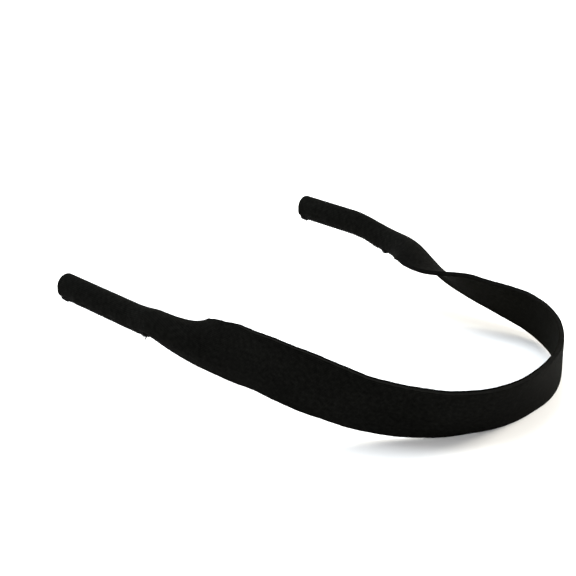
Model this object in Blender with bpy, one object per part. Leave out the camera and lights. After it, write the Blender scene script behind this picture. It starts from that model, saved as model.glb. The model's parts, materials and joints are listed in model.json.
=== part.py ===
"""Eyeglass retainer strap: one strip of foam laminate whose two ends are folded and sewn into sleeves.

The strip is three bonded layers: a foam core between two knitted faces. It starts at the left sleeve's
mouth, goes back past the left side, round the back of the loop and forward to the right sleeve's mouth.
In each sleeve the strip is folded lengthwise, fold on top, and its two cut edges are sewn together below.
Past the seam the fold opens until the strip is flat. The outer wall's cut edge becomes the bottom edge.

The strip is made as four rigid stretches that hinge where it bends: left sleeve (the root), left band,
right band and right sleeve. Left is the wearer's left, +X. The mouths face -Y, and +Z is up.
"""

import math

import bmesh
import bpy
import numpy as np
from mathutils import Matrix, Vector

MM = 0.001

# Strip, in mm
STRIP_WIDTH = 24.0
FACE_THICKNESS = 0.35
CORE_THICKNESS = 1.10
GLUE_LINE = 0.15
STRIP_THICKNESS = CORE_THICKNESS + 2 * (FACE_THICKNESS + GLUE_LINE)

# Sleeves, in mm
SEAM_LENGTH = 57.0
OPENING_OUT = 60.0
FOLD_RADIUS = 3.8
SEAM_LEAN = math.radians(42)
SEAM_WALL = 3.65
SEAM_WALL_BEND = 1.6
FOLD_SPREAD = 3.0

# Where the strip bends between two stretches, as a share of its length
LEFT_BEND_AT = 0.28
BACK_BEND_AT = 0.50
RIGHT_BEND_AT = 0.72
BEND_GAP = 1.4

# Threads, in mm
THREAD_RADIUS = 0.25
STITCH_PITCH = 3.0
STITCH_REACH = 1.5
STITCH_START = 2.6
POINTS_PER_STITCH = 6
TACK_LENGTH = 1.8
TACK_WIDTH = 3.4
TACK_HEIGHT = 0.9
TACK_BEVEL = 0.25
TOUCH_GAP = 0.3

# How finely each stretch is divided
SLEEVE_CELLS_ACROSS = 16
BAND_CELLS_ACROSS = 4
SLEEVE_STEP = 9.5
OPENING_STEP = 4.0
BAND_STEP = 8.0
CURVE_SAMPLES = 900
STRAIGHT_SAMPLES = 60
SECTION_SAMPLES = 320
SHARP_ANGLE = math.radians(40)

# The strip's centre line between the two straight sleeves: x, y, z in mm, and its lean in degrees (top edge
# tipping towards the middle of the loop is positive). Each sleeve runs straight along Y to its mouth.
LEFT_MOUTH_Y = 5.0
RIGHT_MOUTH_Y = 15.0
ROUTE = (
    (68.5, 50, 30, 0),
    (70, 66, 32, 2),
    (70, 86, 27.5, -29),
    (66, 106, 26, -11),
    (63, 128, 25.5, 1),
    (53, 150, 19, -8),
    (35, 172, 13, -18),
    (14, 187.5, 12, -25),
    (-9, 191.5, 12.5, -16),
    (-31.5, 186, 13, -2),
    (-49.5, 172.5, 13, 9),
    (-60.5, 152, 13.5, 22),
    (-58.5, 129, 17, 38),
    (-57, 107, 22, 31),
    (-61.5, 90, 27.5, 4),
    (-67, 73, 26.5, -2),
    (-68, 57, 28.5, 10),
    (-68.5, 46, 30, 0),
)

# Layers: name, offset of the outer surface and of the inner surface from the strip's middle
CORE_HALF = CORE_THICKNESS / 2
FACE_START = CORE_HALF + GLUE_LINE
STRIP_HALF = STRIP_THICKNESS / 2
LAYERS = (
    ("outer_face", STRIP_HALF, FACE_START),
    ("foam_core", CORE_HALF, -CORE_HALF),
    ("inner_face", -FACE_START, -STRIP_HALF),
)


def clear_scene():
    """Remove whatever the file holds."""
    for item in list(bpy.data.objects):
        bpy.data.objects.remove(item, do_unlink=True)


def make_material(name, colour, roughness):
    """A plain Principled material for cloth, foam or thread."""
    material = bpy.data.materials.new(name)
    material.use_nodes = True
    shader = material.node_tree.nodes["Principled BSDF"]
    shader.inputs["Base Color"].default_value = (*colour, 1.0)
    shader.inputs["Roughness"].default_value = roughness
    shader.inputs["Metallic"].default_value = 0.0
    return material


def clamped_spline(knots, values, first_slope, last_slope, at):
    """The cubic spline through (knots, values) with the given end slopes, read at the given places."""
    count = len(knots)
    gaps = np.diff(knots)
    slopes = np.diff(values, axis=0) / gaps[:, None]
    system = np.zeros((count, count))
    right = np.zeros_like(values)
    system[0, :2] = (2 * gaps[0], gaps[0])
    right[0] = 6 * (slopes[0] - first_slope)
    system[-1, -2:] = (gaps[-1], 2 * gaps[-1])
    right[-1] = 6 * (last_slope - slopes[-1])
    for i in range(1, count - 1):
        system[i, i - 1] = gaps[i - 1]
        system[i, i] = 2 * (gaps[i - 1] + gaps[i])
        system[i, i + 1] = gaps[i]
        right[i] = 6 * (slopes[i] - slopes[i - 1])
    bend = np.linalg.solve(system, right)
    cell = np.clip(np.searchsorted(knots, at) - 1, 0, count - 2)
    before = (at - knots[cell])[:, None]
    after = (knots[cell + 1] - at)[:, None]
    gap = gaps[cell][:, None]
    cubic = (bend[cell] * after**3 + bend[cell + 1] * before**3) / (6 * gap)
    first = (values[cell] / gap - bend[cell] * gap / 6) * after
    last = (values[cell + 1] / gap - bend[cell + 1] * gap / 6) * before
    return cubic + first + last


class Route:
    """The strip's centre line by distance from the left mouth, with its direction and its upright."""

    def __init__(self, stations):
        points = np.array(stations, dtype=float)
        chords = np.linalg.norm(np.diff(points[:, :3], axis=0), axis=1)
        knots = np.concatenate(([0.0], np.cumsum(chords)))
        places = np.linspace(0.0, knots[-1], CURVE_SAMPLES)
        backwards = np.array((0.0, 1.0, 0.0, 0.0))
        curve = clamped_spline(knots, points, backwards, -backwards, places)
        left_mouth = points[0] + backwards * (LEFT_MOUTH_Y - points[0, 1])
        right_mouth = points[-1] + backwards * (RIGHT_MOUTH_Y - points[-1, 1])
        left_run = np.linspace(left_mouth, points[0], STRAIGHT_SAMPLES, endpoint=False)
        right_run = np.linspace(right_mouth, points[-1], STRAIGHT_SAMPLES, endpoint=False)[::-1]
        curve = np.concatenate((left_run, curve, right_run))
        steps = np.linalg.norm(np.diff(curve[:, :3], axis=0), axis=1)
        self.distance = np.concatenate(([0.0], np.cumsum(steps)))
        self.length = float(self.distance[-1])
        self.curve = curve
        along = np.gradient(curve[:, :3], self.distance, axis=0)
        self.along = along / np.linalg.norm(along, axis=1, keepdims=True)

    def read(self, table, s):
        return np.array([np.interp(s, self.distance, table[:, i]) for i in range(table.shape[1])])

    def frame(self, s):
        """Centre, direction along, outward and upright unit vectors at distance s."""
        station = self.read(self.curve, s)
        along = Vector(self.read(self.along, s)).normalized()
        level_out = along.cross(Vector((0, 0, 1))).normalized()
        level_up = level_out.cross(along)
        lean = math.radians(station[3])
        upright = level_up * math.cos(lean) - level_out * math.sin(lean)
        outward = level_out * math.cos(lean) + level_up * math.sin(lean)
        return Vector(station[:3]), along, outward, upright

    def folded(self, s):
        """How far the strip is folded at distance s: 1 in a sleeve, 0 where it is flat."""
        past_seam = (min(s, self.length - s) - SEAM_LENGTH) / OPENING_OUT
        eased = min(max(past_seam, 0.0), 1.0)
        return 1.0 - eased * eased * (3 - 2 * eased)


def turning(across, fold):
    """Direction of the strip's section at a distance from its fold line: 0 is up and 180 degrees is down."""
    half = STRIP_WIDTH / 2
    tight = FOLD_RADIUS * math.pi / 2
    reach = tight + FOLD_SPREAD * (1 - fold)
    share = np.clip((across + reach) / (2 * reach), 0, 1)
    pinch = SEAM_LEAN * np.clip(2 * fold - 1, 0, 1) ** 2

    def near_edge(distance):
        return 1 - np.clip((distance - SEAM_WALL) / SEAM_WALL_BEND + 0.5, 0, 1)

    closing = near_edge(half - across) - near_edge(half + across)
    return fold * math.pi * share + pinch * closing


def section(fold, cells):
    """Section points, inward and up from the fold line, from the bottom cut edge round, and their normals."""
    half = STRIP_WIDTH / 2
    fine = np.linspace(-half, half, SECTION_SAMPLES + 1)
    angle = turning(fine, fold)
    step = np.stack([np.sin(angle), np.cos(angle)], axis=1)
    walk = np.zeros_like(step)
    walk[1:] = np.cumsum((step[1:] + step[:-1]) / 2 * (fine[1] - fine[0]), axis=0)
    walk -= walk[SECTION_SAMPLES // 2]
    across = np.linspace(-half, half, cells + 1)
    points = np.stack([np.interp(across, fine, walk[:, i]) for i in range(2)], axis=1)
    angle = turning(across, fold)
    normals = np.stack([-np.cos(angle), np.sin(angle)], axis=1)
    return points, normals


def ring(route, s, cells, outer, inner):
    """One layer's closed section at distance s: up its outer surface and back down its inner one."""
    centre, along, outward, upright = route.frame(s)
    points, normals = section(route.folded(s), cells)

    def place(point):
        return centre - outward * point[0] + upright * point[1]

    over = [place(p + n * outer) for p, n in zip(points, normals)]
    under = [place(p + n * inner) for p, n in zip(points, normals)]
    return over + under[::-1]


def stations_between(start, end, step):
    """Evenly spaced distances from start to end, at most a step apart."""
    count = math.ceil((end - start) / step)
    return [start + (end - start) * i / count for i in range(count + 1)]


def sleeve_stations(end):
    """Distances from a mouth to the end of its stretch: wide steps, then close ones where the fold opens."""
    opened = SEAM_LENGTH + OPENING_OUT
    sewn = stations_between(0.0, SEAM_LENGTH, SLEEVE_STEP)
    opening = stations_between(SEAM_LENGTH, opened, OPENING_STEP)
    flat = stations_between(opened, end, BAND_STEP)
    return sewn + opening[1:] + flat[1:]


def layer_mesh(name, route, stations, cells, outer, inner):
    """A closed shell lofted through the layer's sections, split along the same diagonals in every layer."""
    mesh = bmesh.new()
    rings = [[mesh.verts.new(p) for p in ring(route, s, cells, outer, inner)] for s in stations]
    around = len(rings[0])
    for near, far in zip(rings, rings[1:]):
        for i in range(around):
            j = (i + 1) % around
            if i <= cells:
                mesh.faces.new((near[i], near[j], far[j]))
                mesh.faces.new((near[i], far[j], far[i]))
            else:
                mesh.faces.new((near[i], near[j], far[i]))
                mesh.faces.new((near[j], far[j], far[i]))
    for end in (rings[0], rings[-1]):
        for i in range(cells):
            mesh.faces.new((end[i], end[i + 1], end[around - 2 - i], end[around - 1 - i]))
    bmesh.ops.recalc_face_normals(mesh, faces=mesh.faces)
    data = bpy.data.meshes.new(name)
    mesh.to_mesh(data)
    mesh.free()
    return data


def seam_line(route, s):
    """Middle of the two sewn edges at distance s, with the frame there."""
    centre, along, outward, upright = route.frame(s)
    points, normals = section(1.0, SLEEVE_CELLS_ACROSS)
    middle = (points[0] + points[-1]) / 2
    corner = points[0] + normals[0] * STRIP_HALF
    inward = centre - outward * middle[0]
    return inward + upright * corner[1], along, outward, upright


def distance_from_mouth(route, side, t):
    """Distance along the strip of a place t mm into the sleeve on that side."""
    return t if side == "left" else route.length - t


def thread_mesh(name, route, side):
    """The seam's thread: one wave of thread under the two cut edges."""
    curve = bpy.data.curves.new(name, "CURVE")
    curve.dimensions = "3D"
    curve.bevel_depth = THREAD_RADIUS
    curve.bevel_resolution = 0
    curve.use_fill_caps = True
    run = SEAM_LENGTH - 2 * STITCH_START
    count = round(run / STITCH_PITCH) * POINTS_PER_STITCH
    spline = curve.splines.new("POLY")
    spline.points.add(count)
    for i in range(count + 1):
        s = distance_from_mouth(route, side, STITCH_START + run * i / count)
        line, along, outward, upright = seam_line(route, s)
        sway = STITCH_REACH * math.sin(2 * math.pi * i / POINTS_PER_STITCH)
        point = line + outward * sway - upright * (TOUCH_GAP + THREAD_RADIUS)
        spline.points[i].co = (*point, 1.0)
    holder = bpy.data.objects.new(name, curve)
    data = bpy.data.meshes.new_from_object(holder)
    bpy.data.objects.remove(holder)
    bpy.data.curves.remove(curve)
    data.name = name
    return data


def tack_mesh(name, route, side, t):
    """A small block of stitches under the cut edges, t mm into the sleeve."""
    line, along, outward, upright = seam_line(route, distance_from_mouth(route, side, t))
    middle = line - upright * (TOUCH_GAP + TACK_HEIGHT / 2)
    turn = Matrix((outward, along, upright)).transposed().to_4x4()
    size = Matrix.Diagonal((TACK_WIDTH, TACK_LENGTH, TACK_HEIGHT, 1.0))
    mesh = bmesh.new()
    bmesh.ops.create_cube(mesh, size=1.0, matrix=Matrix.Translation(middle) @ turn @ size)
    bmesh.ops.bevel(
        mesh, geom=mesh.edges[:], offset=TACK_BEVEL, segments=1, profile=0.5, affect="EDGES", material=-1
    )
    bmesh.ops.recalc_face_normals(mesh, faces=mesh.faces)
    data = bpy.data.meshes.new(name)
    mesh.to_mesh(data)
    mesh.free()
    return data


def build_meshes(route):
    """All the pieces' meshes in mm, with the body that each belongs to."""
    left, back, right = (route.length * share for share in (LEFT_BEND_AT, BACK_BEND_AT, RIGHT_BEND_AT))
    gap = BEND_GAP / 2
    from_right = [route.length - s for s in sleeve_stations(route.length - right - gap)]
    stretches = (
        ("left_sleeve", sleeve_stations(left - gap), SLEEVE_CELLS_ACROSS),
        ("left_band", stations_between(left + gap, back - gap, BAND_STEP), BAND_CELLS_ACROSS),
        ("right_band", stations_between(back + gap, right - gap, BAND_STEP), BAND_CELLS_ACROSS),
        ("right_sleeve", from_right[::-1], SLEEVE_CELLS_ACROSS),
    )
    pieces = []
    for body, stations, cells in stretches:
        for layer, outer, inner in LAYERS:
            name = f"{body}_{layer}"
            pieces.append((name, body, layer, layer_mesh(name, route, stations, cells, outer, inner)))
    for side in ("left", "right"):
        body = f"{side}_sleeve"
        name = f"{side}_seam_thread"
        pieces.append((name, body, "thread", thread_mesh(name, route, side)))
        for place, t in (("mouth_tack", TACK_LENGTH / 2), ("end_tack", SEAM_LENGTH - TACK_LENGTH / 2)):
            name = f"{side}_{place}"
            pieces.append((name, body, "thread", tack_mesh(name, route, side, t)))
    return pieces, (left, back, right)


def rest_offset(pieces):
    """The point under the middle of the pieces' common box, which becomes the origin."""
    corners = np.array([vertex.co for piece in pieces for vertex in piece[3].vertices])
    low, high = corners.min(axis=0), corners.max(axis=0)
    return Vector(((low[0] + high[0]) / 2, (low[1] + high[1]) / 2, low[2]))


def main():
    clear_scene()
    route = Route(ROUTE)
    pieces, bends = build_meshes(route)
    offset = rest_offset(pieces)

    materials = {
        "outer_face": make_material("knitted_face", (0.010, 0.010, 0.010), 0.85),
        "foam_core": make_material("foam", (0.020, 0.020, 0.020), 0.95),
        "inner_face": make_material("knitted_lining", (0.009, 0.009, 0.009), 0.88),
        "thread": make_material("thread", (0.012, 0.012, 0.012), 0.60),
    }

    pivots = {"left_sleeve": Vector((0, 0, 0))}
    for body, s in zip(("left_band", "right_band", "right_sleeve"), bends):
        pivots[body] = (route.frame(s)[0] - offset) * MM

    holders = {}
    parent = None
    for body, pivot in pivots.items():
        holder = bpy.data.objects.new(f"{body}_pivot", None)
        holder.empty_display_size = 0.01
        bpy.context.scene.collection.objects.link(holder)
        holder.parent = holders.get(parent)
        holder.location = pivot - pivots.get(parent, Vector((0, 0, 0)))
        holders[body] = holder
        parent = body

    for name, body, kind, data in pieces:
        place = Matrix.Scale(MM, 4) @ Matrix.Translation(-offset)
        data.transform(Matrix.Translation(-pivots[body]) @ place)
        data.shade_smooth()
        data.set_sharp_from_angle(angle=SHARP_ANGLE)
        data.materials.clear()
        data.materials.append(materials[kind])
        item = bpy.data.objects.new(name, data)
        bpy.context.scene.collection.objects.link(item)
        item.parent = holders[body]


main()
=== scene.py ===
"""Eyeglass retainer strap: the finished cloth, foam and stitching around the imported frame.

The strap is one flat strip of foam laminate. It is cut here as flat grids, one for each layer, and every
point of a grid is then carried to its place on the strip's route: folded into a sleeve at each end, opened
out flat between them. Lengths are in mm until a piece is placed, and materials work in metres.

A place on the strip is (s, c, d): s along it from the left mouth, c across it from its fold line, and d out
of it from its middle, towards the outer face. At c = -12 is the cut edge that becomes the band's bottom.
"""

import json
import logging
import math
from dataclasses import dataclass, field
from enum import Enum

import bmesh
import bpy
import numpy as np
from mathutils import Matrix, Quaternion, Vector


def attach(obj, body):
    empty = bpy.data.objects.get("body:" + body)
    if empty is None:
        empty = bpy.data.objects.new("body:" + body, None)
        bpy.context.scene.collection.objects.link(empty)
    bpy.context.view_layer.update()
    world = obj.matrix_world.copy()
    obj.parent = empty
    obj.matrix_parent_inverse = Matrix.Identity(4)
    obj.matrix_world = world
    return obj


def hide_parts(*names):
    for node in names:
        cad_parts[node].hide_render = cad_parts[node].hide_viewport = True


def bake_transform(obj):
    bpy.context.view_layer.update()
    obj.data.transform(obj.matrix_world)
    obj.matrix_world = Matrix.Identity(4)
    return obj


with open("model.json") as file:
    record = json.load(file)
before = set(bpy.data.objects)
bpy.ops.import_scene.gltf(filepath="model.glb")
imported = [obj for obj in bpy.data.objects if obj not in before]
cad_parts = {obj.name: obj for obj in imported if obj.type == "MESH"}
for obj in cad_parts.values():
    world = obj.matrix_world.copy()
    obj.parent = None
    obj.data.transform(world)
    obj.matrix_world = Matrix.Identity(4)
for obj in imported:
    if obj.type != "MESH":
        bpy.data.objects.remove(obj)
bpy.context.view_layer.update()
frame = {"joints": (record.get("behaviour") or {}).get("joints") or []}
LOG = logging.getLogger("retainer_strap")

MM = 0.001

Colour = tuple[float, float, float]
Place = tuple[float, float, float]
Socket = bpy.types.NodeSocket


class Side(Enum):
    """Which of the two sleeves."""

    LEFT = "left"
    RIGHT = "right"


class Layer(Enum):
    """The three bonded layers, by the name that their CAD nodes end in."""

    OUTER = "outer_face"
    CORE = "foam_core"
    LINING = "inner_face"


# The strip's shape, as the frame has it


@dataclass(frozen=True)
class StripCut:
    """The strip's driving sizes, in mm and degrees."""

    width: float = 24.0
    thickness: float = 2.1
    face: float = 0.42
    seam: float = 57.0
    opening: float = 60.0
    fold_radius: float = 3.8
    fold_spread: float = 3.0
    seam_lean: float = 42.0
    seam_wall: float = 3.65
    seam_wall_bend: float = 1.6
    left_mouth: float = 5.0
    right_mouth: float = 15.0
    bends: tuple[float, float, float] = (0.28, 0.50, 0.72)
    route: tuple[tuple[float, float, float, float], ...] = (
        (68.5, 50, 30, 0),
        (70, 66, 32, 2),
        (70, 86, 27.5, -29),
        (66, 106, 26, -11),
        (63, 128, 25.5, 1),
        (53, 150, 19, -8),
        (35, 172, 13, -18),
        (14, 187.5, 12, -25),
        (-9, 191.5, 12.5, -16),
        (-31.5, 186, 13, -2),
        (-49.5, 172.5, 13, 9),
        (-60.5, 152, 13.5, 22),
        (-58.5, 129, 17, 38),
        (-57, 107, 22, 31),
        (-61.5, 90, 27.5, 4),
        (-67, 73, 26.5, -2),
        (-68, 57, 28.5, 10),
        (-68.5, 46, 30, 0),
    )

    @property
    def half(self) -> float:
        """Half the strip's width."""
        return self.width / 2

    @property
    def skin(self) -> float:
        """Distance from the strip's middle to its outer surface."""
        return self.thickness / 2


def clamped_spline(
    knots: np.ndarray, values: np.ndarray, first_slope: np.ndarray, last_slope: np.ndarray, at: np.ndarray
) -> np.ndarray:
    """The cubic spline through some points with given slopes at its ends.

    Args:
        knots: distance of each point.
        values: the points, one row each.
        first_slope: slope at the first point.
        last_slope: slope at the last point.
        at: distances to read the spline at.

    Returns:
        One row for each distance in at.
    """
    count = len(knots)
    gaps = np.diff(knots)
    slopes = np.diff(values, axis=0) / gaps[:, None]
    system = np.zeros((count, count))
    right = np.zeros_like(values)
    system[0, :2] = (2 * gaps[0], gaps[0])
    right[0] = 6 * (slopes[0] - first_slope)
    system[-1, -2:] = (gaps[-1], 2 * gaps[-1])
    right[-1] = 6 * (last_slope - slopes[-1])
    for i in range(1, count - 1):
        system[i, i - 1] = gaps[i - 1]
        system[i, i] = 2 * (gaps[i - 1] + gaps[i])
        system[i, i + 1] = gaps[i]
        right[i] = 6 * (slopes[i] - slopes[i - 1])
    bend = np.linalg.solve(system, right)
    cell = np.clip(np.searchsorted(knots, at) - 1, 0, count - 2)
    before = (at - knots[cell])[:, None]
    after = (knots[cell + 1] - at)[:, None]
    gap = gaps[cell][:, None]
    cubic = (bend[cell] * after**3 + bend[cell + 1] * before**3) / (6 * gap)
    first = (values[cell] / gap - bend[cell] * gap / 6) * after
    last = (values[cell + 1] / gap - bend[cell + 1] * gap / 6) * before
    return cubic + first + last


@dataclass(frozen=True)
class Ripple:
    """A smooth unevenness: a sum of waves, each (height, wavelength, phase), in mm and radians."""

    waves: tuple[tuple[float, float, float], ...]

    def __call__(self, s: np.ndarray) -> np.ndarray:
        """Height at each distance s."""
        waves = (height * np.sin(2 * np.pi * s / length + phase) for height, length, phase in self.waves)
        return sum(waves)


@dataclass(frozen=True)
class Crease:
    """A soft fold in the cloth along a straight line of the flat cut.

    Attributes:
        start: (distance from the mouth, across) where it starts, in mm.
        end: the same where it ends.
        height: how far it stands out of the surface, negative for a hollow, in mm.
        spread: how wide it is, in mm.
    """

    start: tuple[float, float]
    end: tuple[float, float]
    height: float
    spread: float

    def at(self, s: np.ndarray, c: np.ndarray) -> np.ndarray:
        """Height of the crease at places of the flat cut."""
        ds, dc = self.end[0] - self.start[0], self.end[1] - self.start[1]
        share = ((s - self.start[0]) * ds + (c - self.start[1]) * dc) / (ds * ds + dc * dc)
        inside = np.clip(share, 0, 1)
        away = np.hypot(s - self.start[0] - inside * ds, c - self.start[1] - inside * dc)
        fade = np.sin(np.pi * np.clip(0.12 + 0.88 * inside, 0, 1)) ** 0.6
        return self.height * fade * np.exp(-((away / self.spread) ** 2))


@dataclass
class Strip:
    """The strip on its route, with the unevenness that sewing and handling leave in it. Lengths are in mm.

    Attributes:
        stitch: distance between the seam's loops, the first of them at stitch_start.
        seam_fade: over what length the puckers die out at a seam's end.
        pucker: height of the pucker at each stitch, fading over pucker_reach from the edge.
        slack: height of the looser swell above the stitches, slack_at from the edge and slack_reach wide.
        slack_shift: how far along one wall's swell is shifted against the other's.
        held: how close to the edge the stitches hold the cloth still.
        edge_roll: how far a free cut edge rolls inwards, fading over edge_roll_reach.
        sway_skew: how much the open band's sway slants.
        sewn_growth: how much longer each sewn edge is, so that the two meet under the loops.
        scallop: how far that varies at each loop, fading over scallop_fade at the seam's end.
        edge_power: how closely the changes at an edge keep to it.
        bulk: swell of the walls above the stitches.
        left_swell: fullness of the cloth at the left opening.
        top_line: (distance, height) of the top edge against a straight cut.
    """

    cut: StripCut = field(default_factory=StripCut)
    stitch: float = 3.05
    stitch_start: float = 2.6
    samples: int = 900
    straight_samples: int = 60
    section_samples: int = 320
    seam_fade: float = 4.0
    pucker: float = 0.20
    pucker_reach: float = 1.7
    slack: float = 0.15
    slack_at: float = 3.0
    slack_reach: float = 2.6
    slack_shift: float = 31.0
    held: float = 2.4
    edge_roll: float = 0.22
    edge_roll_reach: float = 1.1
    sway_skew: float = 1.3
    sewn_growth: float = 0.88
    scallop: float = 0.16
    scallop_fade: float = 2.0
    edge_power: int = 6
    bottom_edge: Ripple = Ripple(((0.13, 41.0, 0.4), (0.08, 17.3, 2.1), (0.04, 6.1, 1.0), (0.03, 2.3, 0.4)))
    top_edge: Ripple = Ripple(((0.12, 36.0, 1.9), (0.08, 14.6, 0.2), (0.04, 5.3, 2.6), (0.03, 2.7, 1.4)))
    sway: Ripple = Ripple(((0.16, 63.0, 0.8), (0.10, 29.0, 2.4)))
    bulk: Ripple = Ripple(((1.0, 9.7, 0.3), (0.8, 6.3, 1.7), (0.7, 13.9, 2.9)))
    creases: tuple[Crease, ...] = (
        Crease((55.5, -10.8), (72.0, -5.4), -0.32, 1.5),
        Crease((56.0, -9.8), (66.0, -9.0), 0.26, 1.3),
        Crease((58.0, -11.0), (76.0, -9.4), -0.22, 1.6),
        Crease((56.0, 10.6), (70.0, 5.0), -0.36, 1.6),
        Crease((57.5, 10.9), (78.0, 8.6), -0.24, 1.8),
        Crease((50.0, -3.2), (74.0, 1.6), 0.22, 2.6),
        Crease((66.0, 3.0), (90.0, 5.4), -0.20, 3.0),
    )
    left_swell: Crease = Crease((64.0, 2.0), (86.0, 7.0), 1.05, 5.5)
    top_line: tuple[tuple[float, float], ...] = (
        (68, 0.0),
        (76, 0.25),
        (81, 0.0),
        (86, -0.60),
        (91, -0.45),
        (97, 0.05),
        (104, 0.45),
        (113, 0.80),
        (135, 0.70),
        (205, 0.60),
        (240, 0.40),
        (262, 0.0),
    )

    def __post_init__(self) -> None:
        """Lay out the route and find the shift from its own coordinates to the frame's."""
        points = np.array(self.cut.route, dtype=float)
        chords = np.linalg.norm(np.diff(points[:, :3], axis=0), axis=1)
        knots = np.concatenate(([0.0], np.cumsum(chords)))
        places = np.linspace(0.0, knots[-1], self.samples)
        backwards = np.array((0.0, 1.0, 0.0, 0.0))
        curve = clamped_spline(knots, points, backwards, -backwards, places)
        left_mouth = points[0] + backwards * (self.cut.left_mouth - points[0, 1])
        right_mouth = points[-1] + backwards * (self.cut.right_mouth - points[-1, 1])
        left_run = np.linspace(left_mouth, points[0], self.straight_samples, endpoint=False)
        right_run = np.linspace(right_mouth, points[-1], self.straight_samples, endpoint=False)[::-1]
        self.curve = np.concatenate((left_run, curve, right_run))
        steps = np.linalg.norm(np.diff(self.curve[:, :3], axis=0), axis=1)
        self.distance = np.concatenate(([0.0], np.cumsum(steps)))
        self.length = float(self.distance[-1])
        along = np.gradient(self.curve[:, :3], self.distance, axis=0)
        self.along = along / np.linalg.norm(along, axis=1, keepdims=True)
        self.shift = np.zeros(3)
        first = frame["joints"][0]
        self.shift = np.array(first["pos_m"]) / MM - self.frames(np.array([self.bend(0)]))[0][0]

    def bend(self, number: int) -> float:
        """Distance along the strip of one of its three bends."""
        return self.cut.bends[number] * self.length

    def frames(self, s: np.ndarray) -> tuple[np.ndarray, np.ndarray, np.ndarray, np.ndarray]:
        """The strip's own axes at some distances.

        Args:
            s: distances from the left mouth.

        Returns:
            The centre, and the unit vectors along, outward and upright, one row for each distance.
        """
        station = np.stack([np.interp(s, self.distance, self.curve[:, i]) for i in range(4)], axis=1)
        along = np.stack([np.interp(s, self.distance, self.along[:, i]) for i in range(3)], axis=1)
        along /= np.linalg.norm(along, axis=1, keepdims=True)
        level_out = np.cross(along, (0.0, 0.0, 1.0))
        level_out /= np.linalg.norm(level_out, axis=1, keepdims=True)
        level_up = np.cross(level_out, along)
        lean = np.radians(station[:, 3:])
        upright = level_up * np.cos(lean) - level_out * np.sin(lean)
        outward = level_out * np.cos(lean) + level_up * np.sin(lean)
        return station[:, :3] + self.shift, along, outward, upright

    def mouth_distance(self, s: np.ndarray) -> np.ndarray:
        """Distance from the nearer mouth."""
        return np.minimum(s, self.length - s)

    def folded(self, s: np.ndarray) -> np.ndarray:
        """How far the strip is folded: 1 in a sleeve, 0 where it is flat."""
        eased = np.clip((self.mouth_distance(s) - self.cut.seam) / self.cut.opening, 0, 1)
        return 1.0 - eased * eased * (3 - 2 * eased)

    def turning(self, across: np.ndarray, fold: np.ndarray) -> np.ndarray:
        """Direction of the section at a distance from the fold line: 0 is up and pi is down."""
        cut = self.cut
        reach = cut.fold_radius * math.pi / 2 + cut.fold_spread * (1 - fold)
        share = np.clip((across + reach) / (2 * reach), 0, 1)
        pinch = math.radians(cut.seam_lean) * np.clip(2 * fold - 1, 0, 1) ** 2

        def near_edge(distance: np.ndarray) -> np.ndarray:
            """1 beside the sewn edge and 0 past the part that leans in."""
            return 1 - np.clip((distance - cut.seam_wall) / cut.seam_wall_bend + 0.5, 0, 1)

        closing = near_edge(cut.half - across) - near_edge(cut.half + across)
        return fold * math.pi * share + pinch * closing

    def relief(self, s: np.ndarray, c: np.ndarray) -> np.ndarray:
        """How far the cloth stands out of the smooth shape: puckers, creases and a slight sway."""
        t = self.mouth_distance(s)
        edge = np.clip(self.cut.half - np.abs(c), 0, None)
        sewn = np.clip((self.cut.seam + self.seam_fade / 2 - t) / self.seam_fade, 0, 1)
        phase = 2 * np.pi * (t - self.stitch_start) / self.stitch
        swing = self.bulk(t + np.where(c > 0, self.slack_shift, 0.0))
        tight = self.pucker * np.cos(phase) * np.exp(-edge / self.pucker_reach)
        loose = self.slack * swing * np.exp(-(((edge - self.slack_at) / self.slack_reach) ** 2))
        loosened = np.clip(edge / self.held, 0, 1)
        folds = sum(crease.at(t, c) for crease in self.creases) + self.left_swell.at(s, c)
        flat = 1 - self.folded(s)
        rolled = -self.edge_roll * np.exp(-edge / self.edge_roll_reach) * flat
        swayed = flat * self.sway(s + self.sway_skew * c)
        return sewn * loosened * (tight + loose) + folds + swayed + rolled

    def trimmed(self, s: np.ndarray, c: np.ndarray) -> np.ndarray:
        """Where a place across the flat cut really lies: hand-cut edges, and sewn edges that meet."""
        t = self.mouth_distance(s)
        share = np.clip(np.abs(c) / self.cut.half, 0, None) ** self.edge_power
        line = np.interp(s, *np.array(self.top_line, dtype=float).T)
        uneven = np.where(c < 0, self.bottom_edge(s), self.top_edge(s) + line)
        sewn = np.clip((self.cut.seam - t) / self.scallop_fade, 0, 1)
        wave = np.cos(4 * np.pi * (t - self.stitch_start) / self.stitch)
        growth = self.scallop * wave + self.sewn_growth
        return c + np.sign(c) * share * (uneven * (1 - sewn) + growth * sewn)

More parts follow.
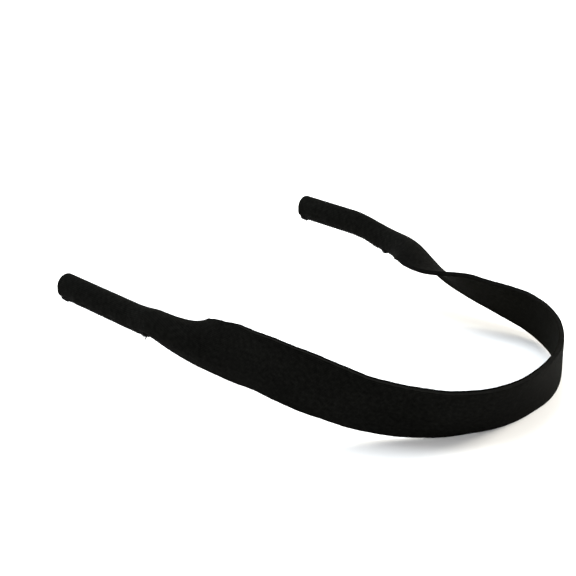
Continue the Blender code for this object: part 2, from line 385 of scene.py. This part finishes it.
    def carry(self, s: np.ndarray, c: np.ndarray, d: np.ndarray) -> np.ndarray:
        """Carry places of the flat cut to the frame.

        Args:
            s: distances along the strip.
            c: distances across it; past a cut edge they go straight on.
            d: distances out of its middle surface.

        Returns:
            One point for each place, in mm.
        """
        s, c, d = (np.asarray(values, dtype=float) for values in (s, c, d))
        stations, which = np.unique(np.round(s, 4), return_inverse=True)
        centre, _, outward, upright = self.frames(stations)
        fold = self.folded(stations)
        half = self.cut.half
        fine = np.linspace(-half, half, self.section_samples + 1)
        trimmed = self.trimmed(s, c)
        within = np.clip(trimmed, -half, half)
        points = np.zeros((len(s), 2))
        angle = np.zeros(len(s))
        order = np.argsort(which, kind="stable")
        groups = np.split(order, np.searchsorted(which[order], np.arange(1, len(stations))))
        for number, members in enumerate(groups):
            turn = self.turning(fine, fold[number])
            step = np.stack([np.sin(turn), np.cos(turn)], axis=1)
            walk = np.zeros_like(step)
            walk[1:] = np.cumsum((step[1:] + step[:-1]) / 2 * (fine[1] - fine[0]), axis=0)
            walk -= walk[self.section_samples // 2]
            for axis in range(2):
                points[members, axis] = np.interp(within[members], fine, walk[:, axis])
            angle[members] = self.turning(within[members], fold[number])
        past = trimmed - within
        depth = d + self.relief(s, c)
        inward = points[:, 0] + np.sin(angle) * past - np.cos(angle) * depth
        up = points[:, 1] + np.cos(angle) * past + np.sin(angle) * depth
        return centre[which] - outward[which] * inward[:, None] + upright[which] * up[:, None]


# Finishes


class Nodes:
    """A material's node tree, with short calls for the nodes that the finishes use."""

    def __init__(self, name: str) -> None:
        """Start an empty Principled material.

        Args:
            name: the material's name.
        """
        self.material = bpy.data.materials.new(name)
        self.material.use_nodes = True
        self.tree = self.material.node_tree
        self.shader = self.tree.nodes["Principled BSDF"]

    def set(self, **values: float | Colour) -> None:
        """Set the shader's own sockets, named with _ for a space."""
        for key, value in values.items():
            socket = self.shader.inputs[key.replace("_", " ")]
            socket.default_value = (*value, 1.0) if isinstance(value, tuple) else value

    def link(self, source: Socket, target: Socket) -> None:
        """Join two sockets."""
        self.tree.links.new(source, target)

    def math(
        self, operation: str, first: Socket | float, second: Socket | float = 0.0
    ) -> Socket:
        """A Math node.

        Args:
            operation: Blender's name for it.
            first: its first value or the socket that gives it.
            second: its second value or socket.

        Returns:
            The node's output.
        """
        node = self.tree.nodes.new("ShaderNodeMath")
        node.operation = operation
        for socket, value in zip(node.inputs, (first, second)):
            if isinstance(value, Socket):
                self.link(value, socket)
            else:
                socket.default_value = value
        return node.outputs[0]

    def scaled(self, value: Socket, weight: float, centre: float = 0.0) -> Socket:
        """A value times a weight, counted from its centre."""
        if centre:
            value = self.math("SUBTRACT", value, centre)
        return self.math("MULTIPLY", value, weight)

    def total(self, first: Socket, *others: Socket | float) -> Socket:
        """The sum of some values."""
        for other in others:
            first = self.math("ADD", first, other)
        return first

    def flat_cut(self) -> tuple[Socket, Socket, Socket]:
        """The place on the flat cut in metres: as a vector, across and along."""
        source = self.tree.nodes.new("ShaderNodeUVMap")
        source.uv_map = "flat_cut"
        parts = self.tree.nodes.new("ShaderNodeSeparateXYZ")
        self.link(source.outputs[0], parts.inputs[0])
        return source.outputs[0], parts.outputs[0], parts.outputs[1]

    def object_place(self) -> Socket:
        """The place in the object's own space in metres."""
        return self.tree.nodes.new("ShaderNodeTexCoord").outputs["Object"]

    def noise(
        self, place: Socket, size: float, detail: float = 2.0, stretch: Place = (1.0, 1.0, 1.0)
    ) -> Socket:
        """Soft noise, from 0 to 1.

        Args:
            place: where it is read.
            size: size of its blotches in metres.
            detail: how many finer octaves it has.
            stretch: how much each axis is squeezed first.

        Returns:
            The noise.
        """
        mapping = self.tree.nodes.new("ShaderNodeMapping")
        mapping.inputs["Scale"].default_value = stretch
        self.link(place, mapping.inputs["Vector"])
        node = self.tree.nodes.new("ShaderNodeTexNoise")
        node.inputs["Scale"].default_value = 1 / size
        node.inputs["Detail"].default_value = detail
        self.link(mapping.outputs[0], node.inputs["Vector"])
        return node.outputs["Fac"]

    def cells(self, place: Socket, size: float) -> Socket:
        """Distance to the middle of the nearest cell of a foam, for cells of that size in metres."""
        node = self.tree.nodes.new("ShaderNodeTexVoronoi")
        node.inputs["Scale"].default_value = 1 / size
        self.link(place, node.inputs["Vector"])
        return node.outputs["Distance"]

    def ramp(self, value: Socket, stops: tuple[tuple[float, Colour], ...]) -> Socket:
        """A colour for each value.

        Args:
            value: from 0 to 1.
            stops: (value, colour) pairs in rising order.

        Returns:
            The colour.
        """
        node = self.tree.nodes.new("ShaderNodeValToRGB")
        band = node.color_ramp
        while len(band.elements) < len(stops):
            band.elements.new(0.5)
        for element, (position, colour) in zip(band.elements, stops):
            element.position = position
            element.color = (*colour, 1.0)
        self.link(value, node.inputs["Fac"])
        return node.outputs["Color"]

    def bump(self, height: Socket, distance: float, strength: float = 1.0) -> None:
        """Give the shader a bump from a height of 0 to 1, for a full height of that distance in metres."""
        node = self.tree.nodes.new("ShaderNodeBump")
        node.inputs["Strength"].default_value = strength
        node.inputs["Distance"].default_value = distance
        self.link(height, node.inputs["Height"])
        self.link(node.outputs["Normal"], self.shader.inputs["Normal"])


@dataclass(frozen=True)
class KnitFinish:
    """Fine jersey knit bonded to the foam.

    Attributes:
        name: the material's name.
        slot: the record's slot for it.
        deep: colour at the bottom of the scale: painted shade between the ribs, and the darker random tone.
        wear_and_highlight: colour in the middle of the scale: wear, and a painted highlight on top of the
            ribs; lint is a lighter copy of it.
        wale: distance between ribs, in metres.
        course: distance between rows of stitches, in metres.
        relief: height of the stitches, in metres.
        sheen: strength of the cloth's soft glow at grazing angles.
        gloss: specular level of the yarn.
        slant: how far the stitches slant between two ribs, as a share of a row.
        loop_depth: how much of a stitch's height its loops make.
        tones: how much the stitches, fuzz, wear and blotches each change the colour; the stitches' share
            darkens the colour between the ribs and lightens it on their tops, as painted shade and painted
            highlight.
        base_tone: the colour's place on its scale before they do.
        heights: how much the stitches, fuzz and wear each raise the surface.
        brightest: how much lighter lint is than the colour of wear and of the painted rib highlights.
    """

    name: str
    slot: str
    deep: Colour
    wear_and_highlight: Colour
    wale: float
    course: float
    relief: float
    sheen: float
    gloss: float
    slant: float = 0.7
    loop_depth: float = 0.55
    tones: tuple[float, float, float, float] = (0.42, 0.25, 0.85, 0.6)
    base_tone: float = 0.18
    heights: tuple[float, float, float] = (0.62, 0.22, 0.75)
    brightest: float = 2.2

    def build(self) -> bpy.types.Material:
        """Make the material."""
        nodes = Nodes(self.name)
        place, across, along = nodes.flat_cut()
        rib = nodes.math("ABSOLUTE", nodes.math("SINE", nodes.scaled(across, math.pi / self.wale)))
        slant = nodes.math("PINGPONG", across, self.wale / 2)
        row = nodes.total(along, nodes.scaled(slant, self.slant * self.course / self.wale))
        loop = nodes.math("SINE", nodes.scaled(row, 2 * math.pi / self.course))
        loop = nodes.scaled(nodes.total(loop, 1.0), 0.5)
        depth = nodes.total(nodes.scaled(loop, self.loop_depth), 1 - self.loop_depth)
        stitch = nodes.math("MULTIPLY", rib, depth)
        fuzz = nodes.noise(place, 0.00035, 3.0)
        wear = nodes.noise(place, 0.0014, 3.0, (1.0, 0.8, 1.0))
        blotch = nodes.noise(place, 0.018, 4.0, (1.0, 0.45, 1.0))
        # The stitches darken the colour between the ribs and lighten it on the ribs' tops: painted shade and
        # painted highlight, on top of the bump. Fuzz, wear and blotches are random tone.
        painted_stitch_shade, fuzz_tone, wear_tone, blotch_tone = self.tones
        tone = nodes.total(
            nodes.scaled(stitch, painted_stitch_shade),
            nodes.scaled(fuzz, fuzz_tone),
            nodes.total(nodes.scaled(wear, wear_tone, 0.5), self.base_tone),
            nodes.scaled(blotch, blotch_tone, 0.5),
        )
        lint = tuple(self.brightest * value for value in self.wear_and_highlight)
        # The ramp runs from painted shade between the ribs, through wear and the painted highlight on the rib
        # tops, to lint.
        colour = nodes.ramp(tone, ((0.10, self.deep), (0.60, self.wear_and_highlight), (0.95, lint)))
        nodes.link(colour, nodes.shader.inputs["Base Color"])
        raised = zip((stitch, fuzz, wear), self.heights)
        height = nodes.total(*(nodes.scaled(part, share) for part, share in raised))
        nodes.bump(height, self.relief, 0.9)
        rough = nodes.total(nodes.scaled(fuzz, 0.16), 0.74)
        nodes.link(rough, nodes.shader.inputs["Roughness"])
        nodes.set(Specular_IOR_Level=self.gloss, Sheen_Weight=self.sheen, Sheen_Roughness=0.45, Metallic=0.0)
        return nodes.material


@dataclass(frozen=True)
class FoamFinish:
    """Cut closed-cell foam, seen only at the strip's cut edges."""

    name: str = "cut_foam"
    slot: str = "foam"
    deep: Colour = (0.0015, 0.0015, 0.0014)
    pale: Colour = (0.0068, 0.0066, 0.0060)
    cell: float = 0.00022

    def build(self) -> bpy.types.Material:
        """Make the material."""
        nodes = Nodes(self.name)
        place = nodes.object_place()
        cell = nodes.cells(place, self.cell)
        # Colour is darkest at the middle of each cell, where the bump below sinks into a pit: painted shade
        # in the cells' hollows, with random blotches over it.
        tone = nodes.total(nodes.scaled(cell, 0.8), nodes.scaled(nodes.noise(place, 0.003), 0.4))
        colour = nodes.ramp(tone, ((0.15, self.deep), (0.95, self.pale)))
        nodes.link(colour, nodes.shader.inputs["Base Color"])
        nodes.bump(cell, 0.00012, 0.8)
        nodes.set(Roughness=0.95, Specular_IOR_Level=0.02, Metallic=0.0)
        return nodes.material


@dataclass(frozen=True)
class ThreadFinish:
    """Spun thread, a little glossier than the knit."""

    name: str = "spun_thread"
    slot: str = "thread"
    deep: Colour = (0.0022, 0.0022, 0.0021)
    pale: Colour = (0.0085, 0.0085, 0.0080)
    fibre: float = 0.00012

    def build(self) -> bpy.types.Material:
        """Make the material."""
        nodes = Nodes(self.name)
        place = nodes.object_place()
        fibre = nodes.noise(place, self.fibre, 2.0)
        tone = nodes.total(nodes.scaled(fibre, 0.7), nodes.scaled(nodes.noise(place, 0.0024), 0.3))
        colour = nodes.ramp(tone, ((0.3, self.deep), (0.75, self.pale)))
        nodes.link(colour, nodes.shader.inputs["Base Color"])
        nodes.bump(fibre, 0.00005, 0.7)
        nodes.set(Roughness=0.58, Specular_IOR_Level=0.04, Sheen_Weight=0.01, Metallic=0.0)
        return nodes.material


@dataclass
class Finishes:
    """The four finishes, each made once."""

    # Each knit's colours run from painted shade between the ribs to wear with a painted highlight on the rib
    # tops.
    face: KnitFinish = KnitFinish(
        name="knitted_face",
        slot="knitted_face",
        deep=(0.0009, 0.0009, 0.0008),
        wear_and_highlight=(0.0041, 0.0041, 0.0036),
        wale=0.00062,
        course=0.00046,
        relief=0.00014,
        sheen=0.003,
        gloss=0.006,
    )
    lining: KnitFinish = KnitFinish(
        name="knitted_lining",
        slot="knitted_lining",
        deep=(0.0010, 0.0010, 0.0007),
        wear_and_highlight=(0.0041, 0.0040, 0.0031),
        wale=0.00052,
        course=0.00040,
        relief=0.00012,
        sheen=0.003,
        gloss=0.006,
    )
    foam: FoamFinish = FoamFinish()
    thread: ThreadFinish = ThreadFinish()

    def __post_init__(self) -> None:
        """Build the materials."""
        finishes = (self.face, self.lining, self.foam, self.thread)
        self.materials = {finish.slot: finish.build() for finish in finishes}

    def dress(self, piece: bpy.types.Object, finish: KnitFinish | FoamFinish | ThreadFinish) -> None:
        """Give a piece a finish."""
        piece.data.materials.clear()
        piece.data.materials.append(self.materials[finish.slot])


# Cloth and foam


def linked(name: str, data: bpy.types.ID) -> bpy.types.Object:
    """Put some data in the scene as an object at the origin."""
    piece = bpy.data.objects.new(name, data)
    bpy.context.scene.collection.objects.link(piece)
    return piece


def placed(name: str, mesh: bmesh.types.BMesh) -> bpy.types.Object:
    """Turn a finished bmesh into an object at the origin and free it.

    Args:
        name: the piece's name.
        mesh: its mesh, in metres in the frame.

    Returns:
        The object.
    """
    data = bpy.data.meshes.new(name)
    mesh.to_mesh(data)
    mesh.free()
    return linked(name, data)


@dataclass
class Stretch:
    """One stretch of the strip across one bend, in its three layers.

    Attributes:
        name: left, back or right.
        start: where it starts along the strip, in mm.
        end: where it ends.
        bodies: the two frame bodies that it joins.
        bend: where it bends between them, in mm.
        ease: not used.
        fine_step: distance between the grid's rows along a seam, in mm.
        step: the same elsewhere.
        fine_margin: how far past a seam the rows stay close together, in mm.
        cells_across: how many cells a knitted layer has across.
        foam_cells_across: the same for the foam.
        crowding: how much closer together the cells are at the cut edges, from 0 to 1.
        foam_inset: how far the foam's cut edges stand back from the knit's, in mm.
        rim_bevel: width of the softened cut edges, in mm.
    """

    name: str
    start: float
    end: float
    bodies: tuple[str, str]
    bend: float
    ease: float = 24.0
    fine_step: float = 0.38
    step: float = 0.75
    fine_margin: float = 4.0
    cells_across: int = 44
    foam_cells_across: int = 22
    crowding: float = 0.82
    foam_inset: float = 0.14
    rim_bevel: float = 0.09

    def stations(self, strip: Strip) -> np.ndarray:
        """Distances of the grid's rows: close together along a seam, wider elsewhere."""
        seam = strip.cut.seam + self.fine_margin
        marks = [self.start, *(m for m in (seam, strip.length - seam) if self.start < m < self.end), self.end]
        rows = [self.start]
        for near, far in zip(marks, marks[1:]):
            sewn = strip.mouth_distance((near + far) / 2) < seam
            count = math.ceil((far - near) / (self.fine_step if sewn else self.step))
            rows.extend(near + (far - near) * (i + 1) / count for i in range(count))
        return np.array(rows)

    def cut_layer(self, strip: Strip, name: str, cells: int, top: float, inset: float) -> bpy.types.Object:
        """Cut one layer flat and carry its points to their places.

        Args:
            strip: the strip on its route.
            name: the piece's name.
            cells: how many cells it has across.
            top: distance of its outer surface from the strip's middle, in mm.
            inset: how far its cut edges stand back, in mm.

        Returns:
            The layer's outer surface, as an object that has no thickness yet.
        """
        rows = self.stations(strip)
        mesh = bmesh.new()
        bmesh.ops.create_grid(mesh, x_segments=cells, y_segments=len(rows) - 1, size=1.0)
        flat = np.array([vertex.co[:2] for vertex in mesh.verts])
        number = (flat[:, 1] + 1) / 2 * (len(rows) - 1)
        s = np.interp(number, np.arange(len(rows)), rows)
        crowded = np.sin(flat[:, 0] * math.pi / 2 * self.crowding) / math.sin(math.pi / 2 * self.crowding)
        c = -crowded * strip.cut.half
        points = strip.carry(s, c * (1 - inset / strip.cut.half), np.full(len(s), top)) * MM
        cloth = mesh.loops.layers.uv.new("flat_cut")
        for vertex, point, across, along in zip(mesh.verts, points, c * MM, s * MM):
            vertex.co = point
            for loop in vertex.link_loops:
                loop[cloth].uv = (across, along)
        for face in mesh.faces:
            face.smooth = True
        self.mark_rims(mesh, number, len(rows) - 1, strip)
        return placed(name, mesh)

    def mark_rims(self, mesh: bmesh.types.BMesh, number: np.ndarray, last: int, strip: Strip) -> None:
        """Weight the cut edges for softening, and keep the ends that meet the next stretch sharp.

        Args:
            mesh: the layer's grid.
            number: row of each of its points.
            last: number of its last row.
            strip: the strip on its route.
        """
        softened = mesh.edges.layers.float.new("bevel_weight_edge")
        mouths = ((0, self.start == 0.0), (last, self.end == strip.length))
        meeting = [row for row, mouth in mouths if not mouth]
        mesh.verts.index_update()
        for edge in mesh.edges:
            if not edge.is_boundary:
                continue
            rows = [round(number[vertex.index]) for vertex in edge.verts]
            if rows[0] == rows[1] and rows[0] in meeting:
                edge.smooth = False
            else:
                edge[softened] = 1.0

    def thicken(self, piece: bpy.types.Object, thickness: float, bevel: float) -> None:
        """Give a layer its thickness, inwards from its outer surface, and soften its cut edges.

        Args:
            piece: the layer.
            thickness: in mm.
            bevel: width of the softened edge, in mm.
        """
        solid = piece.modifiers.new("thickness", "SOLIDIFY")
        solid.thickness = thickness * MM
        solid.offset = -1.0
        solid.use_even_offset = True
        soft = piece.modifiers.new("cut_edges", "BEVEL")
        soft.width = bevel * MM
        soft.segments = 2
        soft.profile = 0.5
        soft.limit_method = "WEIGHT"
        soft.harden_normals = False

    def build(self, strip: Strip, finishes: Finishes) -> list[bpy.types.Object]:
        """Make the stretch's three layers.

        Args:
            strip: the strip on its route.
            finishes: the finishes to dress them in.

        Returns:
            Outer face, foam and lining.
        """
        cut = strip.cut
        core = cut.thickness - 2 * cut.face
        foam_top = cut.skin - cut.face
        plan = (
            (Layer.OUTER, "face", self.cells_across, cut.skin, cut.face, 0.0, finishes.face),
            (Layer.CORE, "foam", self.foam_cells_across, foam_top, core, self.foam_inset, finishes.foam),
            (Layer.LINING, "lining", self.cells_across, cut.face - cut.skin, cut.face, 0.0, finishes.lining),
        )
        made = []
        for layer, word, cells, top, thickness, inset, finish in plan:
            piece = self.cut_layer(strip, f"{self.name}_{word}", cells, top, inset)
            self.thicken(piece, thickness, self.rim_bevel)
            finishes.dress(piece, finish)
            centre, along, _, _ = strip.frames(np.array([self.bend]))
            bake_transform(piece)
            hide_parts(*(f"{body}_{layer.value}" for body in self.bodies))
            made.append(piece)
        return made


# Stitching


@dataclass
class Thread:
    """A thread of twisted plies laid along a path.

    Attributes:
        ply: radius of one ply, in mm.
        plies: how many plies it has.
        twist: length of one turn, in mm.
        step: distance between points of a ply, in mm.
        sides: 0 for a ply of four sides, 1 for six.
    """

    ply: float = 0.15
    plies: int = 2
    twist: float = 1.5
    step: float = 0.22
    sides: int = 0

    @property
    def radius(self) -> float:
        """Distance from the thread's middle to its outside."""
        return 2 * self.ply

    def lay(self, paths: list[np.ndarray], name: str) -> bpy.types.Object:
        """Lay the thread along some paths and make one mesh of it.

        Args:
            paths: for each run of thread, its middle line in mm, with points in order.
            name: the piece's name.

        Returns:
            The thread's object.
        """
        curve = bpy.data.curves.new(name, "CURVE")
        curve.dimensions = "3D"
        curve.bevel_depth = self.ply * MM
        curve.bevel_resolution = self.sides
        curve.use_fill_caps = True
        for path in paths:
            middle, first, second, along = self.walk(path)
            for number in range(self.plies):
                turn = 2 * np.pi * (along / self.twist + number / self.plies)
                offset = np.cos(turn)[:, None] * first + np.sin(turn)[:, None] * second
                line = (middle + self.ply * offset) * MM
                spline = curve.splines.new("POLY")
                spline.points.add(len(line) - 1)
                spline.points.foreach_set("co", np.column_stack([line, np.ones(len(line))]).ravel())
        holder = bpy.data.objects.new(name, curve)
        data = bpy.data.meshes.new_from_object(holder)
        bpy.data.objects.remove(holder)
        bpy.data.curves.remove(curve)
        data.name = name
        data.shade_smooth()
        return linked(name, data)

    def walk(self, path: np.ndarray) -> tuple[np.ndarray, np.ndarray, np.ndarray, np.ndarray]:
        """Even points along a path, with two directions square to it that don't twist about it.

        Args:
            path: the path's points.

        Returns:
            The points, the two directions at each, and the distance of each from the start.
        """
        along = np.concatenate(([0.0], np.cumsum(np.linalg.norm(np.diff(path, axis=0), axis=1))))
        count = max(4, math.ceil(along[-1] / self.step))
        even = np.linspace(0, along[-1], count + 1)
        middle = np.stack([np.interp(even, along, path[:, i]) for i in range(3)], axis=1)
        heading = np.gradient(middle, axis=0)
        heading /= np.linalg.norm(heading, axis=1, keepdims=True)
        side = Vector(heading[0]).orthogonal().normalized()
        first = np.zeros_like(middle)
        for i, way in enumerate(heading):
            side = (side - Vector(way) * side.dot(Vector(way))).normalized()
            first[i] = side
        return middle, first, np.cross(heading, first), even


@dataclass
class SleeveSeam:
    """The stitching that closes one sleeve: loops, two lines of straight stitches and two bar tacks.

    Attributes:
        grip: how far above the edge a bar tack is reckoned from, in mm, as are all lengths here.
        loop_grip: how far above the edge the loops reach.
        loop_slant: how far a loop leans along the seam, as a share of a stitch.
        corner: how far above the edge a loop turns under it, passing clearance below.
        under: how deep into each wall it turns, as a share of half the thickness.
        crossing: over what share of a loop it passes between the walls.
        line_depth: how far above the edge the straight stitches run.
        line_sink: how deep they dip between stitches, and how far they rise out of that.
        tack_turns: turns of a bar tack, tack_pitch apart.
        mouth_tack_at: distance of its middle from the mouth, and end_tack_in from the inner end.
        mouth_tails: (length, sink, swerve) of each loose end.
    """

    side: Side
    strip: Strip
    loops: Thread = field(default_factory=Thread)
    line: Thread = field(default_factory=lambda: Thread(ply=0.12, twist=1.2))
    grip: float = 2.5
    loop_grip: float = 2.503407
    loop_slant: float = 0.10
    corner: float = 0.25
    clearance: float = 0.02
    under: tuple[float, float] = (0.45, -0.6)
    crossing: float = 0.10
    line_depth: float = 2.15
    line_sink: tuple[float, float] = (0.34, 0.46)
    tack_turns: int = 7
    tack_pitch: float = 0.34
    mouth_tack_at: float = 1.5
    end_tack_in: float = 1.3
    mouth_tails: tuple[Place, ...] = ((1.8, 1.5, 0.3), (1.2, 0.9, -0.4))
    end_tails: tuple[Place, ...] = ((3.4, 2.7, 0.5), (1.6, 1.4, -0.3))
    loop_points: int = 40

    def along(self, t: np.ndarray) -> np.ndarray:
        """Distance along the strip of places t mm into this sleeve."""
        return t if self.side is Side.LEFT else self.strip.length - t

    def over_edge(self, t: np.ndarray, q: np.ndarray, grip: float, lift: float) -> np.ndarray:
        """Places on a line that goes round the two sewn edges.

        Args:
            t: distance into the sleeve.
            q: 0 on the outer wall, 1 on the inner wall, between them under the edges.
            grip: how far above the edge the line reaches on each wall.
            lift: height over the cloth.

        Returns:
            One point for each place, in mm.
        """
        half, skin = self.strip.cut.half, self.strip.cut.skin
        outside = (half - grip, skin + lift)
        corner = (half - self.corner, skin + lift)
        below = half + lift + self.clearance
        stops = np.array([outside, corner, *((below, skin * depth) for depth in self.under)])
        gaps = np.concatenate(([0.0], np.cumsum(np.linalg.norm(np.diff(stops, axis=0), axis=1))))
        way = np.abs(2 * q - 1) * gaps[-1]
        c = np.interp(gaps[-1] - way, gaps, stops[:, 0])
        d = np.interp(gaps[-1] - way, gaps, stops[:, 1])
        outer = self.strip.carry(self.along(t), -c, d)
        inside = self.strip.carry(self.along(t), c, d)
        share = np.clip((q - 0.5) / self.crossing + 0.5, 0, 1)[:, None]
        return outer * (1 - share) + inside * share

    def overedge(self) -> bpy.types.Object:
        """The thread that wraps the two edges, one loop to each stitch."""
        strip = self.strip
        stitches = int((strip.cut.seam - 2 * strip.stitch_start) / strip.stitch)
        turn = np.linspace(0, stitches, stitches * self.loop_points + 1)
        t = strip.stitch_start + strip.stitch * (turn + self.loop_slant * np.sin(4 * np.pi * turn))
        q = 0.5 - 0.5 * np.cos(2 * np.pi * turn)
        path = self.over_edge(t, q, self.loop_grip, self.loops.radius * 0.55)
        return self.loops.lay([path], f"{self.side.value}_overedge_thread")

    def straight_line(self, wall: int) -> np.ndarray:
        """The line of straight stitches on one wall, dipping into the cloth between stitches.

        Args:
            wall: -1 for the outer wall, 1 for the inner wall.

        Returns:
            The thread's middle line, in mm.
        """
        strip = self.strip
        t = np.arange(1.2, strip.cut.seam - 0.8, 0.16)
        phase = np.pi * (t - strip.stitch_start) / strip.stitch
        out = np.abs(np.sin(phase)) ** 0.35
        c = wall * (strip.cut.half - self.line_depth - 0.12 * np.sin(0.37 * t))
        sunk, rise = self.line_sink
        d = strip.cut.skin - sunk + rise * out
        return strip.carry(self.along(t), c, d)

    def straight_stitches(self) -> bpy.types.Object:
        """The two lines of straight stitches that lock the loops."""
        lines = [self.straight_line(wall) for wall in (-1, 1)]
        return self.line.lay(lines, f"{self.side.value}_straight_stitches")

    def wraps(self, centre: float, grip: float, way: int, lift: float) -> np.ndarray:
        """One winding of a bar tack, over the edges again and again.

        Args:
            centre: distance of its middle into the sleeve.
            grip: how far up the walls it reaches.
            way: 1 to wind away from the mouth, -1 to wind back.
            lift: height over the cloth.

        Returns:
            The thread's middle line, in mm.
        """
        turn = np.linspace(0, self.tack_turns, self.tack_turns * self.loop_points + 1)
        q = 0.5 - 0.5 * np.cos(2 * np.pi * turn)
        t = centre + way * self.tack_pitch * (turn - self.tack_turns / 2)
        return self.over_edge(t, q, grip, lift)

    def tail(self, start: np.ndarray, length: float, sink: float, swerve: float) -> np.ndarray:
        """A loose end of thread that hangs from a bar tack.

        Args:
            start: where it leaves the tack, in mm.
            length: how long it is.
            sink: how far its tip drops.
            swerve: how far it bows to the side.

        Returns:
            The thread's middle line, in mm.
        """
        u = np.linspace(0, 1, 24)
        forward = -length * (u - 0.12 * u**2)
        side = swerve * np.sin(np.pi * u) + 0.5 * swerve * u
        return start + np.stack([side, forward, -sink * u**1.4], axis=1)

    def tack(self, word: str, t: float, tails: tuple[Place, ...]) -> bpy.types.Object:
        """One bar tack with its loose ends.

        Args:
            word: mouth_tack or end_tack.
            t: distance of its middle into the sleeve.
            tails: (length, sink, swerve) of each loose end.

        Returns:
            The tack's object.
        """
        radius = self.loops.radius
        under = self.wraps(t, self.grip * 0.85, 1, radius * 0.9)
        over = self.wraps(t + 0.1, self.grip * 0.62, -1, radius * 2.0)
        lowest = over[np.argmin(over[:, 2])]
        ends = [self.tail(lowest, *tail) for tail in tails]
        return self.loops.lay([under, over, *ends], f"{self.side.value}_{word}_winding")

    def build(self, finishes: Finishes) -> list[bpy.types.Object]:
        """Make the seam's pieces.

        Args:
            finishes: the finishes to dress them in.

        Returns:
            Loops, straight stitches, mouth tack and end tack.
        """
        side = self.side.value
        seam = self.strip.cut.seam
        loops = self.overedge()
        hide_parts(f"{side}_seam_thread")
        mouth = self.tack("mouth_tack", self.mouth_tack_at, self.mouth_tails)
        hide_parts(f"{side}_mouth_tack")
        end = self.tack("end_tack", seam - self.end_tack_in, self.end_tails)
        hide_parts(f"{side}_end_tack")
        made = [loops, self.straight_stitches(), mouth, end]
        for piece in made:
            finishes.dress(piece, finishes.thread)
            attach(piece, f"{side}_sleeve")
        return made


# The whole strap and the studio


@dataclass
class RetainerStrap:
    """The strap: three stretches of laminate and two sewn seams."""

    strip: Strip = field(default_factory=Strip)
    finishes: Finishes = field(default_factory=Finishes)

    def stretches(self) -> list[Stretch]:
        """The stretches, which meet halfway between the bends."""
        left, back, right = (self.strip.bend(i) for i in range(3))
        first, second = (left + back) / 2, (back + right) / 2
        return [
            Stretch("left", 0.0, first, ("left_sleeve", "left_band"), left),
            Stretch("back", first, second, ("left_band", "right_band"), back),
            Stretch("right", second, self.strip.length, ("right_band", "right_sleeve"), right),
        ]

    def build(self) -> None:
        for stretch in self.stretches():
            face, foam, lining = stretch.build(self.strip, self.finishes)
        left = SleeveSeam(Side.LEFT, self.strip)
        short_tails = ((1.3, 0.8, 0.3), (0.9, 0.6, -0.3))
        right = SleeveSeam(Side.RIGHT, self.strip, mouth_tails=short_tails, end_tails=short_tails)
        for seam in (left, right):
            for piece in seam.build(self.finishes):
                LOG.info("%s: %d points", piece.name, len(piece.data.vertices))


@dataclass(frozen=True)
class SoftBox:
    """A square lamp.

    Attributes:
        name: the lamp's name.
        at: where it stands, in metres.
        size: its side, in metres.
        power: in watts.
        tint: its colour.
    """

    name: str
    at: Place
    size: float
    power: float
    tint: Colour = (1.0, 1.0, 1.0)


@dataclass
class Studio:
    """Pale floor, soft lamps and the camera."""

    camera_at: Place = (0.32470, 0.29516, 0.22751)
    look_along: Place = (-0.64437, -0.64486, -0.41102)
    roll: float = -1.46
    lens: float = 73.17
    floor_size: float = 60.0
    floor_tone: Colour = (0.90, 0.90, 0.90)
    room_light: float = 0.95
    lamps: tuple[SoftBox, ...] = (
        SoftBox("side_lamp", (-1.12, 0.40, 0.42), 0.45, 26.0, (1.0, 0.95, 0.84)),
        SoftBox("top_lamp", (0.10, -0.25, 1.15), 0.70, 13.5, (0.90, 0.96, 1.0)),
        SoftBox("end_lamp", (0.15, -1.10, 0.60), 0.50, 3.5, (0.92, 0.97, 1.0)),
    )

    def camera(self) -> None:
        """Set up the camera."""
        data = bpy.data.cameras.new("camera")
        data.lens = self.lens
        data.sensor_width = 36.0
        data.clip_start = 0.01
        data.clip_end = 20.0
        holder = linked("camera", data)
        aim = Vector(self.look_along).to_track_quat("-Z", "Y")
        turn = Quaternion((0, 0, 1), math.radians(self.roll))
        holder.matrix_world = Matrix.Translation(self.camera_at) @ (aim @ turn).to_matrix().to_4x4()
        bpy.context.scene.camera = holder

    def floor(self) -> None:
        """Lay the pale floor."""
        mesh = bmesh.new()
        bmesh.ops.create_grid(mesh, x_segments=1, y_segments=1, size=self.floor_size / 2)
        floor = placed("floor", mesh)
        nodes = Nodes("pale_floor")
        nodes.set(Base_Color=self.floor_tone, Roughness=0.9, Specular_IOR_Level=0.1)
        floor.data.materials.append(nodes.material)

    def lights(self) -> None:
        """Hang the lamps and set the room's even light."""
        for lamp in self.lamps:
            data = bpy.data.lights.new(lamp.name, "AREA")
            data.shape = "SQUARE"
            data.size = lamp.size
            data.energy = lamp.power
            data.color = lamp.tint
            holder = linked(lamp.name, data)
            aim = (-Vector(lamp.at)).to_track_quat("-Z", "Y")
            holder.matrix_world = Matrix.Translation(lamp.at) @ aim.to_matrix().to_4x4()
        world = bpy.data.worlds.new("studio")
        world.use_nodes = True
        background = world.node_tree.nodes["Background"]
        background.inputs["Color"].default_value = (1.0, 1.0, 1.0, 1.0)
        background.inputs["Strength"].default_value = self.room_light
        bpy.context.scene.world = world
        bpy.context.scene.view_settings.view_transform = "Standard"

    def build(self) -> None:
        """Set up everything that isn't the strap."""
        self.camera()
        self.floor()
        self.lights()


def main() -> None:
    """Build the studio and the strap."""
    logging.basicConfig(level=logging.INFO, format="%(name)s: %(message)s")
    Studio().build()
    RetainerStrap().build()


if __name__ == "__main__":
    main()
